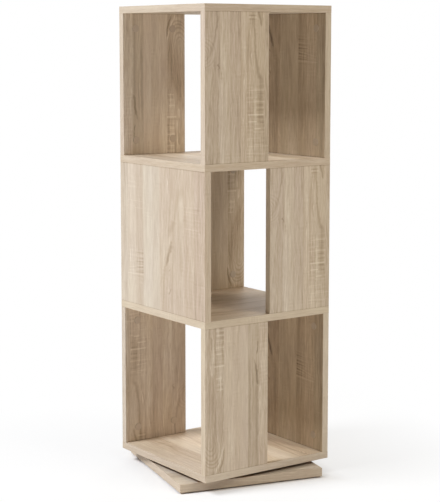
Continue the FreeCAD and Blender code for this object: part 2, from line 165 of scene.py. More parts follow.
def ramp(value, stops, interpolation="LINEAR"):
    """A colour ramp. Each stop is a position and three numbers; two stops are there from the start."""
    made = add_node(value.tree, "ValToRGB")
    made.color_ramp.interpolation = interpolation
    elements = made.color_ramp.elements
    while len(elements) < len(stops):
        elements.new(0.5)
    for element, (position, _) in zip(elements, stops):
        element.position = position
    for element, (_, numbers) in zip(elements, stops):
        element.color = (*numbers, 1.0)
    feed(made.inputs[0], value)
    return Value(made.outputs[0])


def start_group(name, inputs, outputs):
    """An empty group: its network, its inputs as Values by name, and its output sockets by name."""
    tree = bpy.data.node_groups.new(name, "ShaderNodeTree")
    for label in inputs:
        tree.interface.new_socket(label, in_out="INPUT", socket_type=FLOAT)
    for label, kind in outputs.items():
        tree.interface.new_socket(label, in_out="OUTPUT", socket_type=kind)
    entry = tree.nodes.new("NodeGroupInput").outputs
    leave = tree.nodes.new("NodeGroupOutput").inputs
    given = {label: Value(entry[label]) for label in inputs}
    return tree, given, {label: leave[label] for label in outputs}


def use_group(tree, group, **sources):
    """What a group gives, by name, when it is fed by name."""
    made = add_node(tree, "Group", node_tree=group)
    for name, source in sources.items():
        feed(made.inputs[name], source)
    return {output.name: Value(output) for output in made.outputs}


print("textures, colours and groups ready")

# %% [markdown]
# ## What the decor is
# The boards are chipboard, faced with a printed and embossed paper: pale rough-sawn oak. The print imitates
# narrow staves side by side. Each stave has its own tone and its own cut through the growth rings, so the
# tone changes in a sharp line where two staves meet. Across the grain run the short marks of a band saw.
#
# It could be painted as an image, but here it is built from arithmetic on the object's own coordinates, so
# that it has its real size on every board and stays sharp in a close view. A few drawing tools come first:
# a soft-edged box for a rough patch, a soft line for a streak along the grain, and a tooth for one saw mark
# across it, which may lean and thin out towards its left end.

# %% Three drawing tools for the print
box_tool, given, result = start_group(
    "soft_box",
    ["Across", "Along", "Middle across", "Half across", "Middle along", "Half along", "Softness"],
    {"Mask": FLOAT},
)
sides = []
for name in ("across", "along"):
    away = abs(given[name.capitalize()] - given["Middle " + name])
    half = given["Half " + name]
    sides.append(remap(away, half + given["Softness"], half - given["Softness"], smooth=True))
feed(result["Mask"], sides[0] * sides[1])

line_tool, given, result = start_group(
    "soft_line", ["Across", "Centre", "Half width", "Strength"], {"Mask": FLOAT}
)
core = remap(abs(given["Across"] - given["Centre"]), given["Half width"], 0.0, smooth=True)
feed(result["Mask"], core * given["Strength"])

TOOTH_ENDS = (0.12, 0.95)
tooth_tool, given, result = start_group(
    "saw_tooth", ["Across", "Along", "Left", "Right", "Middle", "Half", "Tilt", "Taper"], {"Mask": FLOAT}
)
share = remap(given["Across"], given["Left"], given["Right"])
middle = (given["Across"] - given["Right"]) * given["Tilt"] + given["Middle"]
half = given["Half"] * (1.0 - (1.0 - share) * given["Taper"])
ends = remap(share, 0.0, TOOTH_ENDS[0]) * remap(share, 1.0, TOOTH_ENDS[1])
feed(result["Mask"], remap(abs(given["Along"] - middle), half, 0.0, smooth=True) * ends)
print("drawing tools:", box_tool.name, line_tool.name, tooth_tool.name)

# %% [markdown]
# ## One sheet of the print
# A sheet is described in a maker's terms, in millimetres across and along the grain: where each stave
# starts, how light, how yellow and how pink it is, how strong its figure is and where its heart lies, the
# streaks with their bends, the patches of saw marks, single strong saw marks, and cup-shaped figures near a
# branch. A colour ramp whose three channels are read as numbers holds one streak: its place, its width and
# its strength along the board. A channel holds 0 to 1, so each number is divided by a unit on its way in.

# %% Staves and streaks from their descriptions
SHEET_WIDTH = 0.36
SHEET_LENGTH = 0.36
LINE_WIDTH_UNIT = 0.04
TONE_UNIT = 2.0
HEART_SPAN = 0.6


def stave_ramps(across, staves):
    """Numbers that jump from stave to stave: tone, two hues, strength of figure, and the heart's place."""
    first, second = [], []
    for start, tone, yellow, pink, figure, heart, depth in staves:
        at = start * MM / SHEET_WIDTH
        first.append((at, (tone / TONE_UNIT, 0.5 + yellow / 2, 0.5 + pink / 2)))
        second.append((at, (0.5 + heart * MM / HEART_SPAN, depth * MM / HEART_SPAN, figure / TONE_UNIT)))
    tone, yellow, pink = split(ramp(across / SHEET_WIDTH, first, "CONSTANT"))
    heart, depth, figure = split(ramp(across / SHEET_WIDTH, second, "CONSTANT"))
    return {
        "Tone": tone * TONE_UNIT,
        "Yellow": yellow * 2.0 - 1.0,
        "Pink": pink * 2.0 - 1.0,
        "Figure": figure * TONE_UNIT,
        "Number": heart * 40.0 + depth * 25.0,
        "Heart across": (heart - 0.5) * HEART_SPAN,
        "Heart depth": depth * HEART_SPAN,
    }


def streak(across, along, bends):
    """One streak. Each bend is (along, across, half width, strength), in millimetres and a share."""
    stops = [
        (at * MM / SHEET_LENGTH, (place * MM / SHEET_WIDTH, half * MM / LINE_WIDTH_UNIT, strength))
        for at, place, half, strength in sorted(bends)
    ]
    place, half, strength = split(ramp(along / SHEET_LENGTH, stops, "EASE"))
    sizes = {"Centre": place * SHEET_WIDTH, "Half width": half * LINE_WIDTH_UNIT, "Strength": strength}
    return use_group(across.tree, line_tool, Across=across, **sizes)["Mask"]


print("a sheet is", SHEET_WIDTH, "by", SHEET_LENGTH, "m")

# %% Saw marks and cups from their descriptions
BOX_SOFTNESS = 3.0


def soft_box(across, along, left, right, low, high):
    """A soft-edged box, given by its sides in millimetres."""
    sizes = {"Softness": BOX_SOFTNESS * MM}
    for axis, start, end in (("across", left, right), ("along", low, high)):
        sizes["Middle " + axis] = (start + end) / 2 * MM
        sizes["Half " + axis] = (end - start) / 2 * MM
    return use_group(across.tree, box_tool, Across=across, Along=along, **sizes)["Mask"]


def tooth(across, along, left, right, middle, half, strength, tilt=0.0, taper=0.0):
    """One saw mark, light or dark, with its right end at middle and its left end tilted and tapered."""
    sizes = {"Left": left * MM, "Right": right * MM, "Middle": middle * MM, "Half": half * MM}
    mask = use_group(across.tree, tooth_tool, Across=across, Along=along, Tilt=tilt, Taper=taper, **sizes)
    return mask["Mask"] * strength


def cup(across, along, middle, height, half_across, half_along, rings, strength, skew=0, upper=0):
    """Nested rings about a branch: below its middle at full strength, above it at the share upper."""
    up = along - height * MM
    x = (across - (up * -skew + middle * MM)) / (half_across * MM)
    y = up / (half_along * MM)
    far = calc("SQRT", x * x + y * y)
    ripple = noise(vector(far * 3.0, 7.0, along * 9.0), 1.0)
    wave = calc("SINE", (ripple * 0.28 + far) * (rings * math.tau))
    shown = remap(far, 1.1, 0.95) * remap(far, 0.08, 0.3)
    side = remap(y, 0.35, -0.15, upper, 1.0)
    return remap(wave, -0.5, 1.0, -0.6, 1.0) * shown * (side * strength)


print("softness of a rough patch:", BOX_SOFTNESS, "mm")

# %% A whole sheet from its description
SHEET_OUTPUTS = (
    "Tone", "Yellow", "Pink", "Figure", "Heart across", "Heart depth", "Number",
    "Streaks", "Bars", "Saw dark", "Saw light",
)
WANDERS = ((30.0, 24.0, 7.0), (90.0, 120.0, 3.5))


def total(parts, operation="ADD"):
    """All the parts put together by one operation, or nought when there are none."""
    result = parts[0] if parts else 0.0
    for part in parts[1:]:
        result = calc(operation, result, part)
    return result


def decor_sheet(name, staves, dark_streaks=(), light_streaks=(), saws=(), teeth=(), cups=()):
    """A group that holds one sheet of the print. A stave is (start, tone, yellow, pink, figure, heart
    across, heart depth), a streak a list of bends, a patch of saws (left, right, low, high, dark, light),
    and teeth and cups are what tooth and cup take."""
    tree, given, result = start_group(name, ["Across", "Along"], dict.fromkeys(SHEET_OUTPUTS, FLOAT))
    across, along = given["Across"], given["Along"]
    bent = across
    for across_scale, along_scale, reach in WANDERS:
        wander = noise(vector(across * across_scale, 0.5, along * along_scale)) - 0.5
        bent = wander * (reach * MM) + bent
    for label, value in stave_ramps(across, staves).items():
        feed(result[label], value)
    dark = [streak(bent, along, bends) for bends in dark_streaks]
    dark += [cup(bent, along, *figure) for figure in cups]
    light = [streak(bent, along, bends) for bends in light_streaks]
    feed(result["Streaks"], total(light) - total(dark))
    feed(result["Bars"], total([tooth(bent, along, *mark) for mark in teeth]))
    masks = [soft_box(across, along, *patch[:4]) for patch in saws]
    for label, column in (("Saw dark", 4), ("Saw light", 5)):
        shares = [mask * patch[column] for mask, patch in zip(masks, saws)]
        feed(result[label], total(shares, "MAXIMUM"))
    return tree


print("a sheet gives:", ", ".join(SHEET_OUTPUTS))

# %% [markdown]
# ## The sheets that the tower is cut from
# The print repeats, as it does on a real roll of decor paper, so a few sheets are enough for the whole
# tower: one wide sheet for the full panels, two for the half panels, and one for the boards and the base.

# %% The wide sheet of the full panels
staves = [
    (0, 1.03, -0.5, -0.6, 1.1, -40, 30),
    (31, 1.08, -0.2, 0.1, 1, -70, 60),
    (67, 0.99, -0.2, 0.1, 0.85, 20, 50),
    (98, 1.12, -0.5, -0.8, 0.85, 160, 90),
    (136, 1.05, -0.5, -0.8, 0.75, 190, 90),
    (165, 0.97, 0, 0.5, 1.05, 255, 40),
    (262, 0.93, 0, 0.8, 0.95, 252, 42),
    (303, 0.88, -0.2, 0.9, 0.95, 262, 30),
]
dark_streaks = [
    [(325, 214, 14, 0.08), (285, 213, 14, 0.1), (230, 207, 10, 0.1), (212, 207, 8, 0.04),
     (200, 206, 6, 0)],
    [(212, 217, 8, 0), (205, 220, 14, 0.12), (190, 212, 15, 0.15), (175, 206, 11, 0.1),
     (165, 204, 8, 0)],
    [(166, 213, 2, 0), (159, 213, 6, 0.24), (150, 211, 10, 0.3), (140, 208, 12, 0.32),
     (132, 203, 9, 0.32), (120, 199, 9, 0.32), (108, 194, 7, 0.24), (100, 190, 3, 0)],
    [(110, 189, 4, 0), (95, 188, 12, 0.13), (70, 181, 14, 0.15), (30, 180, 14, 0.15),
     (0, 179, 12, 0.13)],
    [(325, 232, 34, 0.03), (200, 238, 34, 0.05), (60, 236, 30, 0.03)],
    [(101, 210, 2, 0), (96, 206, 4, 0.26), (91, 203, 2, 0)],
    [(57, 213, 2, 0), (52, 209, 5, 0.2), (45, 205, 5, 0.26), (39, 202, 2, 0)],
    [(325, 323, 4, 0.14), (250, 322, 4, 0.12), (180, 325, 4, 0)],
    [(325, 88, 12, 0.04), (180, 90, 12, 0.06), (120, 88, 12, 0.04)],
    [(180, 273, 2, 0), (150, 276, 5, 0.1), (90, 270, 5, 0.12), (20, 274, 5, 0.1)],
    [(325, 13, 16, 0.08), (180, 13, 16, 0.05), (100, 13, 16, 0)],
    [(250, 36, 12, 0), (200, 36, 12, 0.08), (155, 36, 12, 0.05), (120, 36, 12, 0)],
    [(260, 196, 12, 0), (220, 196, 12, 0.05), (110, 196, 12, 0.06), (80, 196, 12, 0)],
]
light_streaks = [
    [(306, 199, 2, 0), (290, 199, 3, 0.2), (270, 199, 3, 0.16), (262, 199, 2, 0)],
    [(325, 182, 16, 0.06), (240, 182, 14, 0.05), (160, 174, 9, 0.05), (0, 171, 7, 0.05)],
    [(325, 288, 4, 0.06), (260, 288, 4, 0.1), (140, 286, 4, 0.06), (60, 272, 4, 0.06)],
    [(64, 203, 2, 0), (52, 203, 4, 0.16), (42, 208, 4, 0.12), (34, 209, 2, 0)],
    [(325, 45, 16, 0.06), (255, 45, 16, 0.02), (190, 45, 12, 0.05), (100, 44, 14, 0.05)],
    [(300, 310, 12, 0), (265, 310, 12, 0.07), (185, 310, 12, 0.07), (150, 310, 12, 0)],
    [(100, 172, 12, 0), (60, 172, 12, 0.09), (0, 172, 12, 0.11)],
]
saws = [
    (30, 99, 64, 134, 0.15, 0.25),
    (28, 98, 222, 300, 0.08, 0.15),
    (28, 98, 34, 64, 0.15, 0.15),
    (255, 330, 180, 250, 0.12, 0.25),
    (262, 345, 20, 150, 0.1, 0.12),
]
teeth = [
    (68, 99, 129, 2.5, -0.06, 0.02, 0.8),
    (66, 99, 122, 3.4, -0.18, 0.06, 0.8),
    (66, 99, 109.5, 3.2, -0.14, 0.06, 0.8),
    (62, 99, 101.5, 3.6, -0.21, 0.04, 0.8),
    (66, 99, 95.5, 2.4, -0.09, 0.08, 0.8),
    (62, 99, 89.5, 3.6, -0.2, 0.1, 0.8),
    (64, 99, 82.5, 2.6, -0.11, 0.1, 0.8),
    (62, 99, 77.5, 3.6, -0.19, 0.06, 0.8),
    (44, 99, 66.5, 3, -0.06, 0.03, 0.5),
    (40, 99, 115, 1.8, 0.07, 0.1, 0.3),
    (36, 99, 105.5, 1.8, 0.09, 0.12, 0.3),
    (30, 99, 93.5, 2.2, 0.12, 0.17, 0.3),
    (30, 99, 86, 2, 0.09, 0.15, 0.3),
    (26, 99, 72.5, 2.4, 0.17, 0.05, 0.2),
    (30, 98, 240, 2, 0.09, 0, 0.2),
    (60, 98, 224, 2, 0.09, 0, 0.2),
    (30, 66, 284, 3, 0.06, 0.05, 0.4),
    (30, 66, 272, 3, 0.06, 0.05, 0.4),
    (262, 322, 233, 2, 0.09, 0, 0.3),
    (262, 322, 196, 2.2, 0.13, 0, 0.3),
    (300, 326, 240, 2, -0.09, 0, 0.3),
]
wide_sheet = decor_sheet("wide_sheet", staves, dark_streaks, light_streaks, saws, teeth)
print("wide sheet:", len(wide_sheet.nodes), "nodes")

# %% [markdown]
# The half panels show two more cuts. One has a dark flame at its upper corner and a rough patch of saw
# marks beside a brown streak. The other has a dark wedge and, lower down, the nested cups of a branch.

# %% The sheet with the flame
staves = [
    (0, 1, -0.4, 0.1, 1.3, 60, 40),
    (38, 1.1, 0.1, 0.2, 1.3, 90, 60),
    (66, 0.99, -0.1, 0.2, 1.1, 20, 60),
    (93, 1.05, 0.4, 0.7, 1.2, 150, 60),
    (127, 1.02, 0.5, 0.6, 1.1, 190, 30),
    (158, 0.92, 0, 0.1, 1.4, 62, 80),
]
dark_streaks = [
    [(325, 31.5, 4, 0.24), (297, 32, 5, 0.28), (280, 28, 5, 0.24), (262, 23, 5, 0.22),
     (248, 20, 6, 0.2), (235, 17, 6, 0.1), (225, 15, 6, 0)],
    [(290, 50, 1.5, 0), (283, 50, 2.5, 0.18), (258, 48.7, 2.5, 0.16), (250, 48.5, 1.5, 0)],
    [(130, 33, 4, 0), (100, 34, 5, 0.12), (50, 33, 5, 0.14), (0, 34, 5, 0.14)],
    [(325, 93, 3, 0.12), (250, 94, 3, 0.12), (180, 95, 4, 0.12), (60, 92, 3, 0.05),
     (0, 93, 3, 0.12)],
    [(325, 129, 2, 0.1), (309, 129, 3.2, 0.24), (245, 133, 4, 0.26), (219, 137, 5, 0.26),
     (197, 141, 7, 0.26), (185, 143, 9, 0.18), (178, 145, 9, 0)],
    [(196, 146, 8, 0), (180, 147, 13, 0.18), (130, 147, 15, 0.24), (95, 147, 14, 0.19),
     (70, 148, 11, 0.07), (60, 148, 11, 0)],
    [(325, 141, 5, 0.32), (312, 145, 5, 0.34), (300, 148, 4, 0.3), (290, 150, 2, 0)],
    [(325, 151, 10, 0.16), (312, 152, 7, 0.16), (298, 151, 4, 0.1), (291, 150, 2, 0)],
    [(108, 157, 2, 0), (90, 157, 3, 0.24), (30, 157, 3, 0.24), (12, 157, 2, 0)],
    [(216, 38, 2, 0), (211, 34, 3, 0.3), (205, 38, 3, 0.24), (199, 31, 2, 0)],
    [(180, 68, 3, 0), (160, 70, 4, 0.12), (110, 73, 4, 0.12), (80, 70, 3, 0)],
    [(246, 118, 1.5, 0), (235, 119, 2.6, 0.18), (215, 122, 2.6, 0.16), (205, 124, 1.5, 0)],
    [(160, 128, 2, 0), (120, 129, 3, 0.12), (30, 129, 3, 0.14), (0, 129, 3, 0.1)],
    [(325, 59, 13, 0.1), (250, 59, 13, 0.09), (185, 59, 13, 0)],
]
light_streaks = [
    [(325, 104, 2, 0.06), (250, 104, 2.4, 0.12), (160, 103, 2.4, 0.2), (0, 103, 2.4, 0.16)],
    [(242, 121, 1.5, 0), (232, 122, 2.6, 0.24), (205, 128, 2.6, 0.2), (196, 130, 1.5, 0)],
    [(325, 108, 2, 0.03), (180, 109, 2, 0.14), (0, 109, 2, 0.14)],
    [(325, 121, 3, 0.1), (290, 121, 3, 0.12), (250, 118, 2.4, 0), (180, 119, 2.4, 0.16),
     (0, 119, 2.4, 0.12)],
    [(190, 44, 5, 0), (150, 44, 5, 0.08), (60, 42, 4, 0.06), (0, 42, 4, 0.08)],
    [(180, 57, 3, 0.02), (150, 57, 3, 0.12), (120, 54, 3, 0.04), (90, 58, 3, 0)],
    [(323, 154, 1.5, 0), (316, 155, 2.2, 0.2), (308, 156, 1.5, 0)],
    [(205, 132, 2, 0), (180, 134, 3, 0.12), (60, 133, 3, 0.1), (0, 133, 3, 0.1)],
    [(210, 46, 17, 0), (150, 46, 17, 0.06), (60, 46, 18, 0.08), (0, 48, 18, 0.08)],
    [(75, 8, 10, 0), (40, 8, 10, 0.09), (0, 8, 10, 0.18)],
]
saws = [
    (110, 159, 84, 172, 0.2, 0.35),
    (110, 159, 8, 84, 0.3, 0.5),
    (113, 138, 296, 325, 0.1, 0.2),
    (70, 92, 120, 170, 0.15, 0.1),
]
teeth = [
    (113, 159, 156, 2.2, 0.2, 0, 0.2),
    (112, 150, 141, 1.8, 0.11, 0, 0.3),
    (108, 160, 131, 3, 0.14, 0, 0.2),
    (118, 158, 118, 2, 0.14, 0, 0.5),
    (112, 158, 103, 2.5, 0.36, 0, 0.1),
    (113, 138, 88, 2.4, 0.34, 0, 0.1),
    (130, 148, 72.5, 2.2, 0.27, 0, 0.1),
    (112, 170, 34, 1.8, 0.16, 0, 0.1),
    (112, 150, 52, 1.8, 0.13, 0, 0.1),
    (134, 158, 149, 2.6, -0.09, 0, 0.5),
    (134, 157, 124, 3, -0.15, 0, 0.5),
    (136, 158, 113, 3.4, -0.17, 0, 0.4),
    (136, 157, 98, 3.2, -0.17, 0, 0.4),
    (138, 156, 141, 3, -0.09, 0, 0.4),
    (146, 158, 86, 2.4, -0.15, 0, 0.4),
    (114, 136, 317, 2, -0.2, 0, 0),
    (114, 136, 309, 2, -0.15, 0, 0),
    (114, 138, 313, 1.8, 0.14, 0, 0),
]
cups = [
    (-6, 236, 36, 34, 5, 0.06, 0, 1),
]
flame_sheet = decor_sheet("flame_sheet", staves, dark_streaks, light_streaks, saws, teeth, cups)
print("flame sheet:", len(flame_sheet.nodes), "nodes")

# %% The sheet with the cups
staves = [
    (0, 0.98, 0.15, 0.6, 1.4, 12, 20),
    (50, 1.09, 0.2, 0.9, 1, 160, 90),
    (72, 1.04, 0.1, 0.9, 0.8, 190, 90),
    (93, 1.08, 0.1, 0.9, 0.65, 20, 90),
    (115, 0.95, 0, 0, 0.95, 142, 25),
    (146, 1.01, 0.2, 0.8, 1.4, 210, 50),
]
dark_streaks = [
    [(255, 117.5, 2, 0), (240, 118.5, 4, 0.14), (205, 120.5, 5, 0.2), (100, 121, 5, 0.2),
     (60, 120, 4, 0.1), (0, 118, 4, 0.08)],
    [(287, 139, 2, 0), (281, 140, 3, 0.36), (270, 140, 2.2, 0.24), (262, 140.5, 2.8, 0.34),
     (250, 140, 1.6, 0)],
    [(246, 133, 2, 0), (240, 134, 3, 0.2), (227, 138, 4.5, 0.3), (205, 140.5, 5, 0.34),
     (192, 142, 5.5, 0.36), (187, 142.5, 4, 0.3), (184, 142.5, 2, 0)],
    [(256, 125, 2, 0), (245, 127, 3, 0.12), (205, 129, 3, 0.16), (150, 130, 3, 0.12),
     (100, 130, 3, 0.06)],
    [(192, 137, 3, 0), (180, 138, 9, 0.12), (140, 140, 10, 0.17), (60, 140, 9, 0.15),
     (0, 139, 8, 0.1)],
    [(325, 12, 3, 0.16), (200, 12, 3, 0.12), (110, 12, 2.4, 0.06)],
    [(310, 16, 2, 0), (304, 16, 3.4, 0.26), (282, 16.5, 3, 0.24), (274, 17, 2, 0)],
    [(325, 27, 3, 0.22), (244, 27.5, 2.6, 0.18), (200, 27, 2.4, 0.08), (110, 28, 2.4, 0.14),
     (60, 27, 2.4, 0.06)],
    [(325, 46, 3, 0.14), (308, 46, 4, 0.26), (268, 46, 4, 0.24), (240, 46, 3, 0.1),
     (145, 47, 2.6, 0.14), (100, 46, 3.2, 0.2), (70, 42, 2.6, 0.1)],
    [(240, 37, 2, 0), (170, 36, 2.4, 0.12), (110, 37, 2.4, 0.13), (60, 36, 2.4, 0.06)],
    [(240, 20, 2, 0), (200, 20, 2.4, 0.13), (110, 19, 2.4, 0.13), (70, 19, 2.4, 0.06)],
    [(60, 52, 2, 0), (45, 49, 4, 0.3), (22, 46, 5, 0.34), (8, 40, 4, 0.24), (0, 36, 3, 0.1)],
    [(325, 140, 4, 0.1), (300, 139, 3, 0.14), (286, 140, 3, 0.1)],
    [(325, 26, 9, 0.1), (275, 26, 9, 0.06), (240, 26, 9, 0)],
    [(325, 76, 9, 0.1), (270, 76, 9, 0.09), (215, 76, 9, 0)],
    [(215, 42, 10, 0), (190, 42, 10, 0.12), (90, 42, 10, 0.11), (55, 42, 10, 0)],
]
light_streaks = [
    [(72, 50, 2, 0), (50, 45, 3, 0.3), (25, 38, 3.4, 0.34), (8, 30, 3, 0.3), (0, 26, 2.4, 0.2)],
    [(325, 20, 2, 0.1), (300, 20, 2.6, 0.24), (255, 21, 2.4, 0.2), (246, 20, 2, 0)],
    [(247, 14, 2, 0), (240, 15, 3, 0.32), (224, 16, 3, 0.3), (217, 16, 2, 0)],
    [(220, 40, 2, 0), (214, 40, 3, 0.34), (188, 41, 3, 0.3), (182, 41, 2, 0)],
    [(250, 98, 2, 0), (160, 98, 3, 0.05), (60, 96, 3, 0.04)],
    [(190, 147, 2, 0), (178, 147, 4, 0.2), (160, 145, 3, 0.1), (140, 148, 4, 0.16),
     (100, 146, 3, 0.16), (0, 147, 3, 0.1)],
    [(275, 7, 10, 0), (245, 7, 10, 0.11), (60, 7, 10, 0.12), (30, 7, 10, 0)],
    [(130, 76, 9, 0), (80, 76, 9, 0.08), (0, 76, 9, 0.12)],
    [(250, 127, 9, 0), (230, 127, 9, 0.05), (0, 127, 9, 0.05)],
]
saws = [
    (28, 51, 222, 325, 0.2, 0.3),
    (28, 48, 180, 222, 0.2, 0.2),
    (72, 93, 160, 262, 0.15, 0.15),
    (72, 93, 296, 325, 0.2, 0.2),
    (146, 170, 180, 325, 0.2, 0.3),
]
teeth = [
    (27, 51, 319, 2, 0.12),
    (27, 51, 308, 2.4, 0.23),
    (27, 51, 296, 2, 0.13),
    (27, 51, 281, 2.4, 0.2),
    (27, 43, 267, 2.4, 0.18),
    (22, 52, 240, 3, 0.32),
    (28, 46, 213, 2.6, 0.25),
    (30, 49, 200, 2.2, 0.15),
    (30, 49, 187.5, 2.4, 0.2),
    (14, 50, 246, 3, -0.11),
    (27, 51, 314, 2.4, -0.07),
    (27, 51, 302, 2.4, -0.08),
    (27, 51, 289, 2.4, -0.08),
    (27, 51, 274, 2.2, -0.08),
    (28, 51, 260, 2.4, -0.08),
    (30, 46, 206, 2.4, -0.07),
    (30, 46, 194, 2.4, -0.07),
]
cups = [(10, 74, 38, 68, 7, 0.12, 0.18)]
cup_sheet = decor_sheet("cup_sheet", staves, dark_streaks, light_streaks, saws, teeth, cups)
print("cup sheet:", len(cup_sheet.nodes), "nodes")

# %% The sheet of the boards and the base
staves = [
    (0, 1.04, 0.1, 0.2, 1.1, 90, 40),
    (44, 0.95, 0.3, 0.2, 1.2, 10, 60),
    (88, 1.08, -0.2, -0.3, 0.8, 190, 90),
    (121, 1, 0.1, 0.4, 1.2, 140, 30),
    (176, 0.93, 0.4, 0.2, 1.1, 260, 70),
    (214, 1.06, -0.3, -0.4, 0.8, 161, 92),
    (262, 0.98, 0.2, 0.5, 1.2, 290, 30),
    (316, 1.05, 0, 0, 1, 200, 60),
]
dark_streaks = [
    [(345, 60, 5, 0.1), (250, 66, 6, 0.2), (160, 58, 5, 0.12), (0, 62, 5, 0.08)],
    [(345, 150, 6, 0.08), (200, 142, 6, 0.2), (120, 150, 4, 0.1), (0, 146, 5, 0.1)],
    [(300, 196, 3, 0), (230, 190, 5, 0.3), (170, 198, 4, 0.2), (60, 194, 4, 0.1)],
    [(345, 284, 5, 0.16), (180, 292, 6, 0.12), (70, 286, 6, 0.22), (0, 290, 5, 0.12)],
]
light_streaks = [
    [(345, 100, 4, 0.06), (150, 106, 4, 0.08), (0, 101, 4, 0.05)],
    [(345, 236, 4, 0.06), (120, 230, 4, 0.08), (0, 236, 4, 0.05)],
]
saws = [
    (46, 88, 230, 300, 0.6, 0.6),
    (176, 214, 40, 120, 0.6, 0.7),
    (121, 176, 280, 345, 0.3, 0.3),
    (262, 316, 180, 240, 0.5, 0.5),
]
teeth = [
    (46, 88, 262, 2.4, 0.24),
    (176, 214, 84, 2.4, 0.28),
    (262, 316, 208, 2, 0.2),
]
cups = [(290, 60, 24, 90, 8, 0.14)]
board_sheet = decor_sheet("board_sheet", staves, dark_streaks, light_streaks, saws, teeth, cups)
print("board sheet:", len(board_sheet.nodes), "nodes")

# %% [markdown]
# ## From a sheet to wood
# A sheet only says where things are. The grain itself comes from the way a stave is cut out of a log: each
# point of the face has a distance to the log's heart, and noise read along that distance gives growth
# rings, which open into arches where the face runs close to the heart. Finer noise adds fibres and pores.
#
# A noise's row below holds its scale to the metre across and along the grain, its seed, its detail and its
# roughness. It is read at another depth on each side of a board and on each stave, so no two look alike.

# %% Grain and pores
THROUGH_SCALE = 160.0
STAVE_STEP = 3.7
BEND_REACH = 15 * MM
HEART_WANDER = 0.05
HEART_LEAN = 0.06
WOOD_NOISES = {
    "bends": (22.0, 12.0, 1.0, 3.0, 0.5),
    "slow": (5.0, 3.0, 5.0, 1.0, 0.5),
    "rings": (95.0, 0.7, 11.0, 3.0, 0.6),
    "fibres": (260.0, 15.0, 17.0, 3.0, 0.62),
    "hairs": (620.0, 45.0, 23.0, 2.0, 0.6),
    "clouds": (16.0, 7.0, 29.0, 2.0, 0.5),
    "pores": (900.0, 55.0, 31.0, 1.0, 0.5),
    "patches": (34.0, 26.0, 37.0, 1.0, 0.5),
    "ragged": (60.0, 150.0, 41.0, 1.0, 0.5),
    "slip": (9.0, 26.0, 43.0, 1.0, 0.5),
    "missed": (16.0, 90.0, 47.0, 1.0, 0.5),
}
print_tool, given, result = start_group(
    "oak_print",
    ["Across", "Along", "Through", *SHEET_OUTPUTS],
    {"Color": COLOUR, "Roughness": FLOAT, "Height": FLOAT},
)


def wood_noise(name, across):
    """One of the noises above, on the board."""
    scale_across, scale_along, seed, detail, roughness = WOOD_NOISES[name]
    depth = given["Through"] * THROUGH_SCALE + (given["Number"] * STAVE_STEP + seed)
    return noise(vector(across * scale_across, depth, given["Along"] * scale_along), detail, roughness)


def centred(value, gain):
    """A noise moved to a mean of nought, times gain."""
    return (value - 0.5) * gain


across, along = given["Across"], given["Along"]
bent = across + centred(wood_noise("bends", across), BEND_REACH)
slow = wood_noise("slow", across)
depth = given["Heart depth"] + (centred(slow, HEART_WANDER) + along * HEART_LEAN)
sideways = bent - given["Heart across"]
rings = wood_noise("rings", calc("SQRT", sideways * sideways + depth * depth))
fibres = wood_noise("fibres", bent)
hairs = wood_noise("hairs", bent)
clouds = wood_noise("clouds", across)
pores = remap(wood_noise("pores", bent), 0.60, 0.70) * remap(rings, 0.44, 0.62, 0.15, 1.0)
print("grain:", len(print_tool.nodes), "nodes")

# %% [markdown]
# A band saw leaves marks at an even pitch, so they are a wave along the grain whose phase wanders a little,
# with noise to make some marks weak and their ends ragged. The sheet says where they are strong; beyond
# that a cloudy mask lets a few faint ones show on any stave.

# %% Saw marks
SAW_PITCH = 0.0094
SAW_SLIP = 14.0
patches = remap(wood_noise("patches", across), 0.58, 0.74, 0.02, 0.25)
ragged = remap(wood_noise("ragged", across), 0.35, 0.6, 0.25, 1.0)
wave = calc("SINE", along * (math.tau / SAW_PITCH) + wood_noise("slip", across) * SAW_SLIP)
bite = ragged * remap(wood_noise("missed", across), 0.36, 0.6)
dark_teeth = remap(wave, -0.2, -0.95, smooth=True) * bite
light_teeth = remap(wave, 0.35, 0.95, smooth=True) * bite
dark_marks = dark_teeth * calc("MAXIMUM", given["Saw dark"], patches)
light_marks = light_teeth * calc("MAXIMUM", given["Saw light"], patches)
print("pitch of the saw marks:", SAW_PITCH, "m")

# %% [markdown]
# Everything adds up to one number, the tone, and one ramp turns it into a colour: dark print is browner,
# pale print is greyer. Two weak tints then pull each stave towards yellow or pink. Pores and dark saw marks
# are pressed into the paper, so they are also rougher and lower than the rest.

# %% Tone, colour, roughness and height
SAW_CONTRAST = 0.26
PORE_CONTRAST = 0.16
TONE_SPAN = 1.5
OAK_TONES = [
    (0.25, (0.120, 0.078, 0.044)),
    (0.55, (0.330, 0.245, 0.162)),
    (0.85, (0.507, 0.393, 0.281)),
    (1.00, (0.573, 0.462, 0.345)),
    (1.16, (0.645, 0.536, 0.413)),
    (1.35, (0.722, 0.622, 0.500)),
]
grain = centred(rings, 0.50) + centred(fibres, 0.60) + centred(clouds, 0.16) + centred(hairs, 0.40)
broken = given["Streaks"] * remap(fibres + hairs, 0.75, 1.25, 0.45, 1.5)
tone = given["Tone"] + grain * given["Figure"] + (broken + given["Bars"])
tone = tone - dark_marks * SAW_CONTRAST + light_marks * SAW_CONTRAST - pores * PORE_CONTRAST

colour = ramp(tone / TONE_SPAN, [(at / TONE_SPAN, rgb) for at, rgb in OAK_TONES])
yellowness = remap(given["Yellow"] + centred(clouds, 1.6), -1.0, 1.0)
pinkness = remap(given["Pink"] + centred(slow, 1.2), -1.0, 1.0)
HUES = (
    (yellowness, (0.987, 0.995, 1.04), (0.987, 1.0, 0.94)),
    (pinkness, (0.99, 1.01, 1.0), (1.015, 0.99, 1.0)),
)
for share, low_tint, high_tint in HUES:
    colour = blend(1.0, colour, blend(share, low_tint, high_tint), "MULTIPLY")
feed(result["Color"], colour)

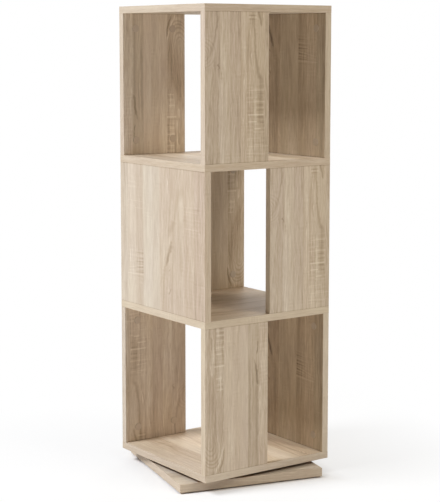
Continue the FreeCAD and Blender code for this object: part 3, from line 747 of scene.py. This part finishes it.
pressed = pores + dark_marks
feed(result["Roughness"], centred(fibres, 0.25) + 0.56 + pressed * 0.12)
feed(result["Height"], centred(fibres, 0.7) + centred(rings, 0.4) - pressed * 0.8)
print("oak print:", len(print_tool.nodes), "nodes")

# %% [markdown]
# ## Chipboard
# Where a board is cut or bored, its core shows: pressed chips, small and flat, in straw and brown. It is
# seen only in the bores and under the bands, so one cell texture with three colours is enough.

# %% The core's colour
CHIPS_PER_METRE = 420.0
CHIP_COLOURS = [(0.0, (0.27, 0.17, 0.09)), (0.5, (0.47, 0.33, 0.19)), (1.0, (0.66, 0.52, 0.34))]
chip_tool, _, result = start_group("chipboard", [], {"Color": COLOUR})
chip_place = Value(add_node(chip_tool, "TexCoord").outputs["Object"])
feed(result["Color"], ramp(cells(chip_place, CHIPS_PER_METRE), CHIP_COLOURS))
print("chipboard:", len(chip_tool.nodes), "nodes")

# %% [markdown]
# ## One finish for one board
# Each board gets its own material, because the print lies differently on each: the axis that runs across
# the grain, the axis along it, and where on the sheet the board was cut. A decor face is told from a cut
# edge by the surface's own direction, read in the object's space so that it turns with the carcass.

# %% Places, materials and surfaces
def own_axes(tree, turn=0.0):
    """Where a point lies on the object's own axes, turned back by turn, and which way its surface faces."""
    source = add_node(tree, "TexCoord")
    turned = add_node(tree, "Mapping", vector_type="POINT")
    feed(turned.inputs["Vector"], Value(source.outputs["Object"]))
    feed(turned.inputs["Rotation"], (0.0, 0.0, -turn))
    place = split(Value(turned.outputs[0]), "XYZ")
    facing = split(Value(source.outputs["Normal"]), "XYZ")
    return dict(zip("XYZ", place)), dict(zip("XYZ", facing))


def new_material(name):
    """An empty material with a shader."""
    material = bpy.data.materials.new(name)
    material.use_nodes = True
    return material


def finish_surface(material, colour, roughness, height, depth, strength=0.6):
    """Feeds the material's own shader, with a bump of that depth in metres."""
    shader = material.node_tree.nodes["Principled BSDF"]
    bump = add_node(material.node_tree, "Bump")
    for name, source in (("Strength", strength), ("Distance", depth), ("Height", height)):
        feed(bump.inputs[name], source)
    feed(shader.inputs["Base Color"], colour)
    feed(shader.inputs["Roughness"], roughness)
    feed(shader.inputs["Normal"], Value(bump.outputs[0]))
    return shader


def dress(material, *names):
    """Gives nodes this material in place of the ones they came with."""
    for name in names:
        mesh = nodes[name].data
        for number in range(len(mesh.materials)):
            mesh.materials[number] = material


print("materials before the finishes:", len(bpy.data.materials))

# %% The finish of a board
EMBOSS_DEPTH = 0.12 * MM
DECOR_GLOSS = 0.25
FACE_LIMIT = 0.7
JOINT_LINE = 1.8 * MM
JOINT_SHADE = 0.34


def board_finish(name, sheet, across, along, through, turn=0.0, shade=0.0, faces=(), ends=None):
    """The decor on a board. across and along are (axis, direction, offset in mm); through is an axis.
    faces are (direction, shade, tint) of each face with painted shade or painted light: the shade lowers its
    tone and the tint darkens or brightens it. ends are the lowest and highest Z of a panel, where a thin
    line of dirt and shade lies in the joint."""
    material = new_material(name)
    tree = material.node_tree
    axes, facing = own_axes(tree, turn)
    u, v = (axes[axis] * direction + offset * MM for axis, direction, offset in (across, along))
    look = use_group(tree, sheet, Across=u, Along=v)
    look["Tone"] = look["Tone"] + shade
    painted_tints = []
    # Painted shade and painted light, face by face: a lower tone and a tint that darkens or brightens.
    for direction, painted_face_shade, tint in faces:
        on_side = facing[through] * direction > FACE_LIMIT
        look["Tone"] = on_side * painted_face_shade + look["Tone"]
        painted_tints.append((on_side, tint))
    if ends:
        low, high = ends
        from_middle = abs(axes["Z"] - (low + high) / 2)
        in_joint = remap(from_middle, (high - low) / 2 - JOINT_LINE, (high - low) / 2)
        look["Tone"] = look["Tone"] - in_joint * JOINT_SHADE
    wood = use_group(tree, print_tool, Across=u, Along=v, Through=axes[through], **look)
    core = use_group(tree, chip_tool)["Color"]
    colour = blend(abs(facing[through]) > FACE_LIMIT, core, wood["Color"])
    for on_side, tint in painted_tints:
        colour = blend(on_side, colour, tint, "MULTIPLY")
    shader = finish_surface(material, colour, wood["Roughness"], wood["Height"], EMBOSS_DEPTH)
    feed(shader.inputs["Specular IOR Level"], DECOR_GLOSS)
    return material


print("the decor is pressed", round(EMBOSS_DEPTH / MM, 2), "mm deep")

# %% [markdown]
# The nine panels follow. Across the grain a sheet starts at a panel's outer edge, or with INNER at its
# inner one. Along the grain it runs up from the foot, or with -1 down from the top, and a start in mm
# slides it. The darker faces inside the compartments carry painted shade and the paler ones painted light.
# Each of these has a row with its direction, a shade for the tone and a tint. The shade of the top front
# panel is painted shade too, and it makes the top of that side darker.

# %% The panels
OUTER = 172.5
INNER = -2.5
FULL, FRONT, REAR = "full_panel", "front_half_panel", "rear_half_panel"
# The last column holds painted shade for the inner faces of the top and bottom full panels and of the middle
# rear panel, and painted light for those of the top and bottom rear panels.
PANELS = (
    ("middle", FULL, wide_sheet, ("Y", -1, OUTER), (1, 0), 0.0, ()),
    ("top", FULL, wide_sheet, ("Y", 1, OUTER), (1, -145), 0.0, [(-1, -0.33, (1.0, 0.96, 0.87))]),
    ("bottom", FULL, wide_sheet, ("Y", 1, OUTER), (1, -90), 0.0, [(-1, -0.33, (0.98, 0.92, 0.81))]),
    # Painted shade: this panel's shade of -0.1 darkens the top of the front side.
    ("top", FRONT, flame_sheet, ("X", 1, OUTER), (1, 0), -0.1, ()),
    ("middle", FRONT, flame_sheet, ("X", 1, INNER), (1, 0), 0.0, ()),
    ("bottom", FRONT, cup_sheet, ("X", 1, OUTER), (1, 0), 0.0, ()),
    ("top", REAR, cup_sheet, ("X", -1, INNER), (-1, 0), 0.0, [(-1, 0.0, (1.35, 1.4, 1.45))]),
    ("middle", REAR, cup_sheet, ("X", -1, OUTER), (1, 0), 0.0, [(-1, 0.0, (0.98, 0.96, 0.91))]),
    ("bottom", REAR, flame_sheet, ("X", -1, INNER), (-1, 0), 0.0, [(-1, 0.0, (1.26, 1.27, 1.31))]),
)
for tier, panel, sheet, across, (direction, start), shade, faces in PANELS:
    low, high = (corner.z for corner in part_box(f"{tier}_{panel}"))
    edge = low if direction > 0 else high
    along = ("Z", direction, start - direction * edge / MM)
    through = "X" if panel == FULL else "Y"
    look = {"shade": shade, "faces": faces, "ends": (low, high)}
    dress(board_finish(f"oak_{tier}_{panel}", sheet, across, along, through, **look), f"{tier}_{panel}")
print("panels finished:", len(PANELS))

# %% [markdown]
# The boards and the base plate share one sheet, turned or mirrored from board to board. The base plate
# stands turned, and so does its print. The undersides of the bottom board and of the base plate are never
# seen. They are tinted dark brown as painted shade, which keeps the narrow gap between the two dark. The
# tops of the bottom board and of the shelves differ from the rest too: painted light on the bottom board,
# painted shade on the shelves.

# %% The boards and the base plate
BASE_TURN = math.radians(-13.6)
# Painted shade: the undersides are darkened, so that the gap between the bottom board and the base plate
# stays dark.
UNDERSIDE_PAINTED_SHADE = (-1, -0.2, (0.6, 0.4, 0.2))
BASE_SHADE = 0.16
# Painted light on the top of the bottom board, painted shade on the tops of the shelves and on the dark
# undersides.
BOARDS = (
    ("bottom_board", ("X", 1, OUTER), ("Y", 1, OUTER), [(1, 0.0, (1.12, 1.1, 1.06)), UNDERSIDE_PAINTED_SHADE]),
    ("lower_shelf", ("Y", 1, OUTER), ("X", 1, OUTER), [(1, -0.1, (0.93, 0.89, 0.83))]),
    ("upper_shelf", ("X", -1, OUTER), ("Y", -1, OUTER), [(1, -0.05, (0.98, 0.97, 0.95))]),
    ("top_board", ("Y", -1, OUTER), ("X", 1, OUTER), ()),
)
for board, across, along, faces in BOARDS:
    dress(board_finish("oak_" + board, board_sheet, across, along, "Z", faces=faces), board)
base_axes = (("Y", 1, OUTER), ("X", 1, OUTER), "Z")
dress(board_finish("oak_base", board_sheet, *base_axes, BASE_TURN, BASE_SHADE, [UNDERSIDE_PAINTED_SHADE]), "base_plate")
print("boards finished:", len(BOARDS), "and the base plate")

# %% [markdown]
# ## The edge bands
# The bands are thin strips of the same decor, cut lengthwise, so the grain runs along each edge and often
# leaves it at a slight slant. On the upright edges it runs up; on the boards the sum of X and Y runs along
# all four sides, because one of the two stands still on each side.

# %% Make and hand out the band finishes
STRIP = {"Through": 0.0, "Figure": 0.8, "Heart across": 0.4, "Heart depth": 0.05}
STAVE_WIDTH = 40
UPRIGHT_SLANT = 0.01
TIER_SHIFT = 37
PANEL_SHIFT = 91


def band_finish(name, upright, slant, shift, turn, tones, yellow, pink):
    """The decor on a set of edge bands. tones holds the tone of the strips that face X and that face Y.
    They differ partly as the strips' own tone and partly as painted light and shade, for the light that
    falls differently on the two sides.
    """
    material = new_material(name)
    axes, facing = own_axes(material.node_tree, turn)
    tone_x, tone_y = tones
    tone = (abs(facing["Y"]) > abs(facing["X"])) * (tone_y - tone_x) + tone_x
    round_about = axes["X"] + axes["Y"]
    along, across = (axes["Z"], round_about) if upright else (round_about, axes["Z"])
    across = along * slant + shift * MM + across
    look = {"Tone": tone, "Yellow": yellow, "Pink": pink, "Number": shift / STAVE_WIDTH}
    wood = use_group(material.node_tree, print_tool, Across=across, Along=along, **look, **STRIP)
    shader = finish_surface(material, wood["Color"], wood["Roughness"], wood["Height"], EMBOSS_DEPTH)
    feed(shader.inputs["Specular IOR Level"], DECOR_GLOSS)
    return material


# The two tones of each board's strips are partly their own tone and partly painted light and shade for its X
# and Y sides.
BOARD_BANDS = (
    ("bottom_board", 0.05, 0, 0.0, (0.99, 1.09), -0.1, 0.3),
    ("lower_shelf", 0.03, 60, 0.0, (1.11, 1.12), 0.9, 0.5),
    ("upper_shelf", 0.015, 130, 0.0, (1.01, 0.98), 0.5, 0.8),
    ("top_board", 0.01, 210, 0.0, (1.08, 0.95), 0.1, 0.3),
)
for board, *recipe in BOARD_BANDS:
    dress(band_finish("band_" + board, False, *recipe), board + "_edging")
base_recipe = (0.06, 300, BASE_TURN, (1.05, 1.03), 0.2, 0.5)
dress(band_finish("band_base", False, *base_recipe), "base_plate_edging")

# The first number is a tone. The full panels' edges get darker from the bottom tier to the top, partly as
# painted shade.
PANEL_BANDS = {
    "bottom": ((1.12, 0.1, -0.2), (1.02, 0.7, 0.3), (1.00, -1.1, -1.0)),
    "middle": ((1.02, 0.6, 0.9), (1.055, 1.7, 1.6), (1.03, 0.1, 0.3)),
    "top": ((0.92, 0.1, -0.3), (1.04, -0.1, 0.8), (0.99, -0.4, 0.1)),
}
for number, (tier, looks) in enumerate(PANEL_BANDS.items()):
    for place, (panel, (tone, yellow, pink)) in enumerate(zip((FULL, FRONT, REAR), looks)):
        shift = TIER_SHIFT * number + PANEL_SHIFT * place
        recipe = (UPRIGHT_SLANT, shift, 0.0, (tone, tone), yellow, pink)
        dress(band_finish(f"band_{tier}_{panel}", True, *recipe), f"{tier}_{panel}_edging")
print("band finishes:", sum(1 for m in bpy.data.materials if m.name.startswith("band_")))

# %% [markdown]
# ## Metal and plastic
# Little of the hardware is seen, but each piece still has its own skin: cast zinc is grainy, galvanised
# sheet shows large crystals, plated steel is bright, nylon is milky, and beech dowels have fine flecks. One
# recipe serves them all: two colours mixed by a noise of the right grain, a roughness that varies, and a
# shallow bump.

# %% Hardware finishes
def grainy_finish(name, dark, light, scale, shine, metallic=0.0, depth=0.02, along_z=1.0, crystals=False):
    """A skin of two colours, mixed by a noise or crystals of that scale to the metre, times along_z on Z.
    shine is the lowest and highest roughness, and depth is the bump's in mm."""
    material = new_material(name)
    tree = material.node_tree
    scaled = add_node(tree, "Mapping", vector_type="POINT")
    feed(scaled.inputs["Vector"], Value(add_node(tree, "TexCoord").outputs["Object"]))
    feed(scaled.inputs["Scale"], (scale, scale, scale * along_z))
    place = Value(scaled.outputs[0])
    value = cells(place) if crystals else remap(noise(place, 3.0, 0.6), 0.3, 0.7)
    low, high = shine
    roughness = remap(value, 0.0, 1.0, high, low)
    shader = finish_surface(material, blend(value, dark, light), roughness, value, depth * MM, 0.4)
    feed(shader.inputs["Metallic"], metallic)
    return material


PLATED = ("cam_bolts", "swivel_lower_screws", "swivel_upper_screws", "glide_nails")
STAMPED = ("swivel_lower_plate", "swivel_upper_plate", "swivel_retaining_ring")
HARDWARE = (
    ("cast_zinc", (0.46, 0.46, 0.47), (0.62, 0.62, 0.63), 700, (0.38, 0.55), 1.0),
    ("plated_steel", (0.58, 0.58, 0.57), (0.72, 0.72, 0.71), 500, (0.22, 0.36), 1.0, 0.008),
    ("galvanised", (0.50, 0.51, 0.52), (0.68, 0.69, 0.70), 110, (0.30, 0.48), 1.0, 0.004, 1.0, True),
    ("polished_ball", (0.70, 0.70, 0.71), (0.78, 0.78, 0.79), 300, (0.06, 0.14), 1.0, 0.001),
    ("nylon", (0.72, 0.71, 0.66), (0.82, 0.81, 0.77), 220, (0.42, 0.58)),
    ("glide_black", (0.030, 0.026, 0.022), (0.062, 0.054, 0.046), 600, (0.45, 0.62)),
    ("beech", (0.55, 0.39, 0.24), (0.70, 0.53, 0.36), 1400, (0.55, 0.7), 0.0, 0.05, 0.04),
)
WEARERS = (
    ["cam_locks"], PLATED, STAMPED, ["swivel_balls"], ["swivel_ball_cage"], ["glide_pads"], ["dowels"],
)
for recipe, names in zip(HARDWARE, WEARERS):
    dress(grainy_finish(*recipe), *names)
print("hardware finishes made:", len(HARDWARE))

# %% [markdown]
# The cover caps are of a plastic in the decor's colour. They lie on the inner faces of the panels, and
# where those carry painted light (the rear panels) and painted shade (the right-hand panels), so do their
# caps. The way a cap faces and its height tell which panel it sits in.

# %% The cover caps
# Painted light on the caps of the rear panels, painted shade on the caps of the right-hand panels.
REAR_CAP_PAINTED_LIGHT = (1.33, 1.36, 1.42)
RIGHT_CAP_PAINTED_SHADE = (0.79, 0.74, 0.66)
cap_finish = grainy_finish("cap_plastic", (0.465, 0.367, 0.268), (0.52, 0.415, 0.308), 900, (0.42, 0.55))
cap_colour = cap_finish.node_tree.nodes["Principled BSDF"].inputs["Base Color"]
axes, facing = own_axes(cap_finish.node_tree)
middle_low, middle_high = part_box("middle_full_panel")
from_middle = abs(axes["Z"] - (middle_low.z + middle_high.z) / 2)
in_other_tier = from_middle > (middle_high.z - middle_low.z) / 2
on_rear_panel = (facing["Y"] < -FACE_LIMIT) * in_other_tier
on_right_panel = facing["X"] < -FACE_LIMIT
matched = blend(on_rear_panel, Value(cap_colour.links[0].from_socket), REAR_CAP_PAINTED_LIGHT, "MULTIPLY")
matched = blend(on_right_panel, matched, RIGHT_CAP_PAINTED_SHADE, "MULTIPLY")
feed(cap_colour, matched)
dress(cap_finish, "cam_caps")
print("cap finish:", cap_finish.name)

# %% [markdown]
# ## Floor and backdrop
# The tower stands on a plain white studio floor that runs out into a white backdrop. For the camera the
# floor is partly a plain white, more so further out, so that the picture's edge is white; close to the
# tower the floor's own shading remains and carries the soft shadow.

# %% Floor
FLOOR_HALF = 9.0
FLOOR_COLOUR = (0.95, 0.93, 0.90)
CONTACT_REACH = 0.012
SHADOW_REACH = 0.055
WHITE_REACH = 0.5
CLOSE_WHITE = 0.4
NEAR_WHITE = 0.7


def seen_directly(tree):
    """1 where something is seen, straight, mirrored or through glass, and 0 where it only gives light."""
    rays = add_node(tree, "LightPath").outputs
    seen = calc("MAXIMUM", Value(rays["Is Camera Ray"]), Value(rays["Is Glossy Ray"]))
    return calc("MAXIMUM", seen, Value(rays["Is Transmission Ray"]))


floor_mesh = bpy.data.meshes.new("studio_floor")
floor_shape = bmesh.new()
bmesh.ops.create_grid(floor_shape, x_segments=1, y_segments=1, size=FLOOR_HALF)
floor_shape.to_mesh(floor_mesh)
floor_shape.free()
studio_floor = bpy.data.objects.new("studio_floor", floor_mesh)
bpy.context.scene.collection.objects.link(studio_floor)

floor_finish = new_material("studio_floor")
tree = floor_finish.node_tree
tree.nodes.remove(tree.nodes["Principled BSDF"])
matt = add_node(tree, "BsdfDiffuse")
feed(matt.inputs["Color"], FLOOR_COLOUR)
axes, _ = own_axes(tree, BASE_TURN)
outside = calc("MAXIMUM", abs(axes["X"]), abs(axes["Y"])) - OUTER * MM
contact = remap(outside, 0.0, CONTACT_REACH, 0.0, CLOSE_WHITE, smooth=True)
near = remap(outside, CONTACT_REACH, SHADOW_REACH, 0.0, NEAR_WHITE - CLOSE_WHITE)
further = remap(outside, SHADOW_REACH, WHITE_REACH, 0.0, 1.0 - NEAR_WHITE)
mixed = add_node(tree, "MixShader")
feed(mixed.inputs[0], seen_directly(tree) * (contact + (near + further)))
feed(mixed.inputs[1], Value(matt.outputs[0]))
feed(mixed.inputs[2], Value(add_node(tree, "Emission").outputs[0]))
feed(tree.nodes["Material Output"].inputs["Surface"], Value(mixed.outputs[0]))
floor_mesh.materials.append(floor_finish)
print("floor:", 2 * FLOOR_HALF, "m wide")

# %% [markdown]
# The world is white too, but only where it is seen. As a light it is much weaker, and gives the soft level
# that the lamps add to.

# %% World
AMBIENT = 0.195
world = bpy.data.worlds.new("studio")
bpy.context.scene.world = world
world.use_nodes = True
sky = world.node_tree.nodes["Background"]
feed(sky.inputs["Color"], (1.0, 1.0, 1.0))
feed(sky.inputs["Strength"], remap(seen_directly(world.node_tree), 0.0, 1.0, AMBIENT, 1.0))
print("ambient level:", AMBIENT)

# %% [markdown]
# ## Lamps
# A large, slightly cool softbox stands high to the left and a little behind, so that it lights the left
# faces fully and none of the right ones. A smaller warm one high at the front fills the right side and
# leaves the base plate in the carcass's shadow, and a weak one behind keeps the far sides from going dull.
# A lamp's power is worked out from the level that it should give at the tower, where a level of 1 shows a
# colour as it is written.

# %% Softboxes
AIM_HEIGHT = 0.53


def softbox(name, place, size, level, tint):
    """A square area lamp that faces the tower's middle and gives it this level."""
    lamp = bpy.data.lights.new(name, "AREA")
    lamp.shape = "SQUARE"
    lamp.size = size
    lamp.color = tint
    aim = Vector(place) - Vector((0.0, 0.0, AIM_HEIGHT))
    lamp.energy = level * math.pi ** 2 * aim.length_squared
    holder = bpy.data.objects.new(name, lamp)
    holder.location = place
    holder.rotation_mode = "QUATERNION"
    holder.rotation_quaternion = aim.to_track_quat("Z", "Y")
    bpy.context.scene.collection.objects.link(holder)
    print(name, "power", round(lamp.energy, 1), "W")


softbox("key_left", (-6.05, 1.29, 6.5), 2.6, 0.91, (0.95, 1.0, 1.09))
softbox("warm_fill", (0.9, -2.9, 3.2), 1.6, 0.355, (1.05, 1.0, 0.90))
softbox("back_fill", (3.6, 3.2, 3.0), 2.6, 0.20, (1.0, 1.0, 1.0))

# %% [markdown]
# ## Camera
# The lens is long, and the camera stands a little below the top board's height and a little over three
# metres off. The lens is shifted slightly, as on a view camera, which keeps the tower's uprights nearly
# parallel.

# %% Camera
CAMERA_PLACE = (-1.9174, -2.6951, 0.9846)
YAW = math.radians(54.728)
PITCH = math.radians(-6.601)
FOCAL_PIXELS = 1445.3
FRAME_HEIGHT = 502
SENSOR = 36.0
LENS_SHIFT = -0.08

camera = bpy.data.cameras.new("camera")
camera.sensor_width = SENSOR
camera.lens = SENSOR * FOCAL_PIXELS / FRAME_HEIGHT
camera.shift_y = LENS_SHIFT
camera_holder = bpy.data.objects.new("camera", camera)
camera_holder.location = CAMERA_PLACE
look = Vector((math.cos(YAW) * math.cos(PITCH), math.sin(YAW) * math.cos(PITCH), math.sin(PITCH)))
camera_holder.rotation_mode = "QUATERNION"
camera_holder.rotation_quaternion = look.to_track_quat("-Z", "Y")
bpy.context.scene.collection.objects.link(camera_holder)
bpy.context.scene.camera = camera_holder
bpy.context.scene.view_settings.view_transform = "Standard"
print("lens:", round(camera.lens, 1), "mm")
